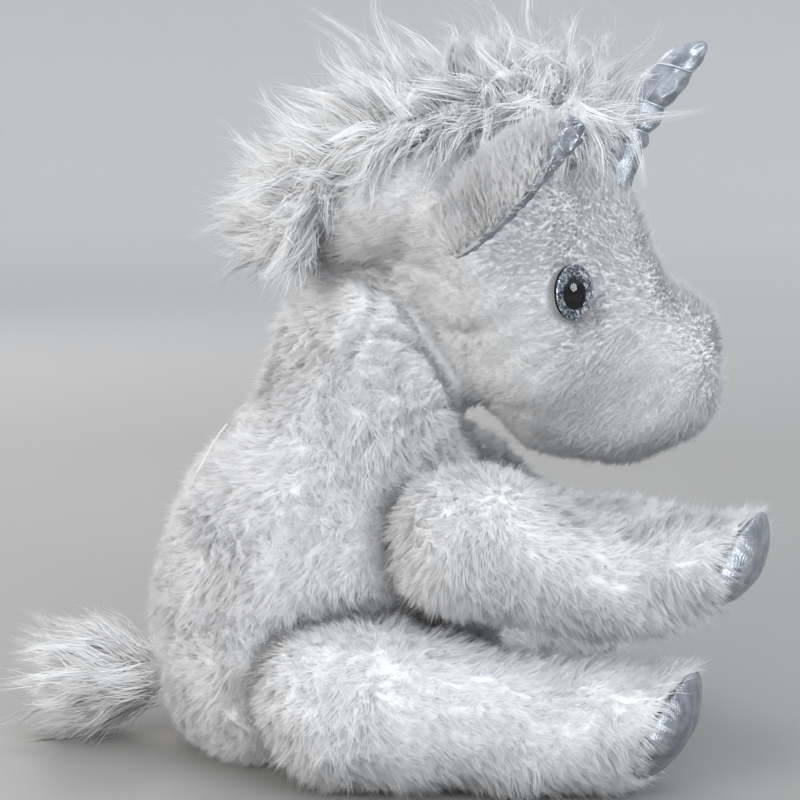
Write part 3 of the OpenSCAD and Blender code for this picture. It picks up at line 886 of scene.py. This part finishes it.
def build_ears():
    """For each ear a plush back with its pile, a metallic lining, and the roll of its edge."""
    for which, side in SIDES.items():
        body = f"{which}_ear"
        for low, high, kind, paint, slot in ((0.3, 3, "back", PLUSH_SHADED_GROUND, "white_plush"),
                                             (-2.2, -0.2, "lining", LAME, "silver_lame")):
            points, faces = ear_sheet(low, high, 0.1 if kind == "back" else 0.7, f"{kind}_{which}")
            points = mirrored(points, side)
            faces = facing_out(points, faces)
            piece = add_mesh(f"ear_{kind}_sewn_{which}", points, faces, paint, body)
            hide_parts(f"ear_{kind}_{which}")
            if kind == "back":
                back = Skin(points, np.concatenate(faces))
        add_ear_pile(which, back, mirrored(EAR_OUT, side), mirrored(EAR_ALONG, side), body)
        add_ear_roll(which, side, body)


def add_ear_pile(which, back, out, tipward, body):
    """Pile on the outer side of an ear's back."""
    facing = np.cross(back.points[back.triangles[:, 1]] - back.points[back.triangles[:, 0]],
                      back.points[back.triangles[:, 2]] - back.points[back.triangles[:, 0]])
    outward = (unit(facing) @ out) > 0.2
    grow_pile(f"ear_pile_{which}", back, lambda p: outward, EAR_STRANDS, 8.5,
              lambda p: np.tile(tipward, (len(p), 1)), body, swirl=0.2, tuft=20, ruffle=0.35, thick=0.15)


def add_ear_roll(which, side, body):
    """The lining rolls over the ear's outer edge, more and more towards the tip."""
    s = np.linspace(0, 1, 90)
    u = np.concatenate([0.22 + 0.76 * s[:70] / s[69], np.full(20, 0.98)])
    grown = np.clip((s - 0.3) / 0.4, 0, 1) ** 1.5
    v = np.concatenate([np.full(70, -0.98), np.linspace(-0.98, 0.7, 20)])
    path = ear_point(u, v, 0.8 + 3.2 * grown) - EAR_ACROSS * (2.4 * grown * (v < 0))[:, None]
    radius = 1.1 + 3.8 * grown
    radius *= np.sqrt(np.clip((1.02 - s) / 0.12, 0, 1))
    points, faces = tube(mirrored(path, side), radius, 28, 0.5)
    roll = add_mesh(f"ear_roll_{which}", points, facing_out(points, faces), LAME, body)


# --- Eyes ---

def lathe(profile, middle, look, across, up, spokes=96):
    """Points and faces of a closed turned shape: profile rows are [radius, height]."""
    angle = np.linspace(0, 2 * math.pi, spokes, endpoint=False)
    rings = [middle + look * h + r * (np.outer(np.cos(angle), across) + np.outer(np.sin(angle), up))
             for r, h in profile]
    faces = [grid_faces(len(profile), spokes, True), np.arange(spokes)[None, ::-1],
             np.arange(spokes)[None] + (len(profile) - 1) * spokes]
    return np.concatenate(rings), faces


def build_eyes():
    """A glitter ring and a black pupil, both cast into the underside of a clear dome.

    The profiles are [radius, height] in mm. The pupil sits a little forward of its ring's middle.
    """
    rise, foot = 6, 2.1
    pupil_forward, pupil_down = 2.3, 0.7
    ball = (EYE_R ** 2 + rise ** 2) / (2 * rise)
    swing = math.asin(EYE_R / ball)
    dome = [[0.01, 1.1], [EYE_R, 1.1]]
    dome += [[ball * math.sin(q), foot + rise - ball + ball * math.cos(q)]
             for q in np.linspace(swing, 0.004, 26)]
    iris = [[0.01, 1.2], [EYE_R - 0.4, 1.2], [EYE_R - 0.3, 1.8], [EYE_R - 0.9, 2.0], [7.6, 2.0], [7.0, 2.0],
            [6.9, 1.5], [0.01, 1.5]]
    pupil = [[0.01, 1.52], [6.2, 1.52], [6.2, 2.2], [5.8, 2.5], [3.4, 2.8], [0.01, 2.9]]
    for which, side in SIDES.items():
        middle, look, across, up = eye_frame(side)
        for name, profile, paint, slot, node in (
                (f"eye_dome_clear_{which}", dome, CLEAR, "clear_dome", f"eye_dome_{which}"),
                (f"eye_iris_glitter_{which}", iris, GLITTER, "eye_glitter", f"eye_iris_{which}"),
                (f"eye_pupil_{which}", pupil, BLACK_PLASTIC, "black_plastic", None)):
            seat = middle + across * pupil_forward - up * pupil_down if profile is pupil else middle
            points, faces = lathe(profile, seat, look, across, up)
            faces = facing_out(points, faces)
            piece = add_mesh(name, points, faces, paint, "head")
            if node:
                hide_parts(node)


# --- Mane and tail ---

def mane_at(s):
    """Row of the mane's table at s, from 0 at the forehead to 1 at the nape."""
    at = s * (len(MANE_ROWS) - 1)
    return np.stack([np.interp(at, np.arange(len(MANE_ROWS)), MANE_ROWS[:, k]) for k in range(5)], -1)


def grow_locks(name, roots, aim, sweep, length, hairs, spread, body, pieces):
    """Soft wavy locks: each starts off along its aim and bends over towards its sweep.

    Every lock has this many hairs, which start up to about spread apart and draw together; a few
    stray from it. They are dealt out at random over this many pieces.
    """
    rng = seeded(name)
    count, steps = len(roots), 7
    t = np.linspace(0, 1, steps)[None, :, None]
    side = unit(np.cross(aim, rng.normal(size=aim.shape)))
    other = np.cross(side, aim)
    curl = rng.uniform(3, 7, (count, 1, 1)) * t + rng.uniform(0, 2 * math.pi, (count, 1, 1))
    line = roots[:, None] + length[:, None, None] * (
        aim[:, None] * (t - 0.4 * t ** 2) + sweep[:, None] * 0.4 * t ** 2
        + 0.11 * t * (side[:, None] * np.sin(curl) + other[:, None] * np.cos(1.3 * curl)))
    lock = np.repeat(np.arange(count), hairs)
    total = len(lock)
    off = rng.normal(size=(total, 1, 3)) * spread
    at = t * rng.uniform(0.5, 1.0, (total, 1, 1)) * (steps - 1)
    low = np.minimum(at.astype(int), steps - 2)
    mix = at - low
    pick = lock[:, None], low[..., 0]
    paths = line[pick] * (1 - mix) + line[pick[0], pick[1] + 1] * mix
    close = np.where(rng.random((total, 1, 1)) < 0.13, -0.2, rng.uniform(0.7, 0.96, (count, 1, 1))[lock])
    paths += off * (1 - close * t ** 0.8)
    wave = rng.uniform(5, 13, (total, 1, 1)) * t + rng.uniform(0, 2 * math.pi, (total, 1, 1))
    paths += 0.7 * t * (side[lock][:, None] * np.sin(wave) + other[lock][:, None] * np.cos(wave))
    half = rng.uniform(0.13, 0.27, total)
    shade = np.clip(0.6 + 0.2 * rng.normal(size=total) + 0.1 * rng.normal(size=count)[lock], 0, 1)
    outward = unit(aim[lock] + 0.25 * unit(off[:, 0]))
    mix_up = rng.permutation(total)
    return [add_strands(f"{name}_{k + 1}", paths[some], half[some], outward[some], shade[some], HAIR, body)
            for k, some in enumerate(np.array_split(mix_up, pieces))]


def mane_roots(rng, count, first, last):
    """Roots, aims, sweeps and lengths of the mane's locks between two places along the crown.

    Those in its hem, along both edges, are shorter and lie over the skin beside it.
    """
    s = rng.uniform(first, last, count)
    row = mane_at(s)
    y = rng.uniform(-1, 1, count)
    hem = rng.random(count) < HEM_SHARE
    y[hem] = np.sign(y[hem]) * (0.85 + 0.2 * np.abs(y[hem]))
    width = row[:, 4] - 5
    facing = np.radians(row[:, 2])
    outward = np.stack([np.cos(facing), 0 * s, np.sin(facing)], -1)
    roots = np.stack([row[:, 0], y * width, row[:, 1]], -1) - outward * (4 * y ** 2)[:, None]
    fan = np.radians(78 + 20 * hem) * np.clip(y, -1, 1) * np.abs(y) ** 0.3
    aim = outward * np.cos(fan)[:, None] + np.array([0, 1.0, 0]) * np.sin(fan)[:, None]
    aim = unit(aim + np.where(hem, 0.15, 0.3)[:, None] * rng.normal(size=aim.shape))
    back = np.interp(s, [0, 0.12, 0.4, 1], [0.5, -0.5, -0.9, -0.6])
    sweep = np.stack([back, 0.7 * y, 0.15 - 1.1 * y ** 2], -1) + 0.4 * rng.normal(size=aim.shape)
    length = row[:, 3] * rng.uniform(0.6, 1.3, count) * np.interp(s, [0, 0.3, 1], [1.5, 1.25, 1.2])
    length = length * np.where(hem, 0.75, 1)
    return roots, aim, sweep, length


def build_mane():
    """Long locks over short ones, and the strip that they are sewn to."""
    parts = []
    thirds = (("mane_hair_front", 0, 0.33, "head"), ("mane_hair_middle", 0.33, 0.66, "head"),
              ("mane_hair_back", 0.66, 1, "neck_to_head"))
    for name, first, last, body in thirds:
        roots, aim, sweep, length = mane_roots(seeded(name), MANE_LOCKS, first, last)
        parts += grow_locks(name, roots, aim, sweep, length, LOCK_HAIRS, 3.4, body, 2)
        under = f"{name}_under"
        roots, aim, sweep, length = mane_roots(seeded(under), UNDER_LOCKS, first, last)
        parts += grow_locks(under, roots, aim, sweep, length * 0.5, LOCK_HAIRS, 4.5, body, 1)
    parts += build_forelock()
    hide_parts("mane_pile")
    node = frame["nodes"]["mane_backing"].data
    points = np.array([v.co for v in node.vertices]) / MM
    faces = [np.array([p.vertices[:] for p in node.polygons])]
    strip = add_mesh("mane_backing_strip", points, faces, BACKING, "neck_to_head")
    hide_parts("mane_backing")


def build_forelock():
    """Locks that fall over the forehead, round the foot of the horn."""
    rng = seeded("forelock")
    count = 60
    y = rng.uniform(0.3, 1, count) * rng.choice([-1, 1], count)
    roots = np.stack([rng.uniform(108, 127, count), 22 * y, 294 - 5 * y ** 2], -1)
    aim = unit(np.stack([rng.uniform(0, 0.6, count), 0.8 * y, rng.uniform(0.4, 1, count)], -1))
    sweep = np.stack([rng.uniform(-0.4, 0.5, count), 0.9 * y, rng.uniform(-0.9, -0.2, count)], -1)
    return grow_locks("forelock_hair", roots, aim, sweep, rng.uniform(26, 48, count), 30, 2.4, "head", 1)


def build_tail():
    """Locks that spread from the tail's stuffed root."""
    rng = seeded("tail")
    count = 200
    along = rng.uniform(0, 1, count)
    angle = rng.uniform(0, 2 * math.pi, count)
    ring = np.stack([0 * angle, np.cos(angle), np.sin(angle)], -1)
    roots = TAIL_AT + np.array([-1, 0, 0]) * (28 * along)[:, None] + ring * 7
    aim = unit(np.array([-1.0, 0, 0.1]) + ring * rng.uniform(0.3, 1.5, (count, 1)))
    sweep = np.array([-0.9, 0, -0.1]) + 0.4 * rng.normal(size=aim.shape)
    length = rng.uniform(34, 60, count) - 12 * along
    tail = grow_locks("tail_hair", roots, aim, sweep, length, 50, 3.6, "tail", 2)
    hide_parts("tail_pile")


# --- Carried-over CAD nodes ---

def paint_frame():
    """Paints the CAD nodes that stay as they are."""
    paints = {"back_seam": WHITE_THREAD, "tail_root": BACKING, "eye_stem": BLACK_PLASTIC,
              "eye_washer": WHITE_PLASTIC}
    for name, node in frame["nodes"].items():
        for start, paint in paints.items():
            if name.startswith(start):
                node.data.materials.clear()
                node.data.materials.append(paint)


# --- Studio ---

def build_floor():
    """A round pale floor that curves up into a seamless backdrop far behind the toy.

    Its profile is [radius, height] in metres.
    """
    profile = [(0.02, 0), (2.2, 0), (2.6, 0.03), (2.9, 0.12), (3.15, 0.3), (3.3, 0.55), (3.38, 0.9),
               (3.4, 1.6)]
    spokes = 96
    angle = np.linspace(0, 2 * math.pi, spokes, endpoint=False)
    rings = [np.stack([r * np.cos(angle), r * np.sin(angle), 0 * angle + z], -1) for r, z in profile]
    mesh = bpy.data.meshes.new("Floor")
    faces = [np.arange(spokes).tolist()] + grid_faces(len(profile), spokes, True).tolist()
    mesh.from_pydata(np.concatenate(rings).tolist(), [], faces)
    mesh.polygons.foreach_set("use_smooth", [True] * len(mesh.polygons))
    paint = Paint("Floor", roughness=0.65)
    # Painted light: paler out on the backdrop than round the toy, to make up for the cove getting less
    # light.
    radius = paint.node("ShaderNodeVectorMath", operation="LENGTH")
    paint.link(paint.place(), radius.inputs[0])
    share = paint.math("MULTIPLY", radius.outputs["Value"], 0.25)
    paint.colour(paint.ramp(share, (0.2, (0.3, 0.292, 0.28)), (0.7, (0.56, 0.555, 0.55))))
    mesh.materials.append(paint.material)
    floor = bpy.data.objects.new("Floor", mesh)
    bpy.context.scene.collection.objects.link(floor)


def add_light(name, place, size, power, colour):
    """A round lamp aimed at the toy: its place and size are in metres, its power in watts."""
    lamp = bpy.data.lights.new(name, "AREA")
    lamp.shape = "DISK"
    lamp.size = size
    lamp.energy = power
    lamp.color = colour
    obj = bpy.data.objects.new(name, lamp)
    bpy.context.scene.collection.objects.link(obj)
    obj.location = place
    obj.rotation_euler = (Vector(LOOK_AT) * MM - Vector(place)).to_track_quat("-Z", "Y").to_euler()


def build_studio():
    """Floor, lamps, sky light and camera."""
    build_floor()
    add_light("Key", (-1.35, -1.15, 0.8), 0.9, 18, (1.0, 0.985, 0.96))
    add_light("Fill", (1.3, -1.35, 0.8), 0.8, 20, (0.87, 0.93, 1.0))
    add_light("Rim", (-0.6, 1.4, 1.2), 0.9, 10, (1.0, 0.96, 0.92))
    bpy.context.scene.view_settings.view_transform = "Standard"
    world = bpy.data.worlds.new("Studio")
    bpy.context.scene.world = world
    world.use_nodes = True
    background = world.node_tree.nodes["Background"]
    background.inputs["Color"].default_value = (0.86, 0.9, 0.96, 1)
    background.inputs["Strength"].default_value = 1.18

    camera = bpy.data.objects.new("Camera", bpy.data.cameras.new("Camera"))
    bpy.context.scene.collection.objects.link(camera)
    azimuth, elevation = math.radians(VIEW_AZIMUTH), math.radians(VIEW_ELEVATION)
    back = Vector((math.sin(azimuth) * math.cos(elevation), -math.cos(azimuth) * math.cos(elevation),
                   math.sin(elevation)))
    camera.location = (Vector(LOOK_AT) + back * VIEW_DISTANCE) * MM
    camera.rotation_euler = (-back).to_track_quat("-Z", "Y").to_euler()
    camera.data.lens = LENS
    camera.data.sensor_width = 36
    bpy.context.scene.camera = camera


build_studio()
build_bodies()
build_pads()
build_horn()
build_ears()
build_eyes()
build_mane()
build_tail()
paint_frame()
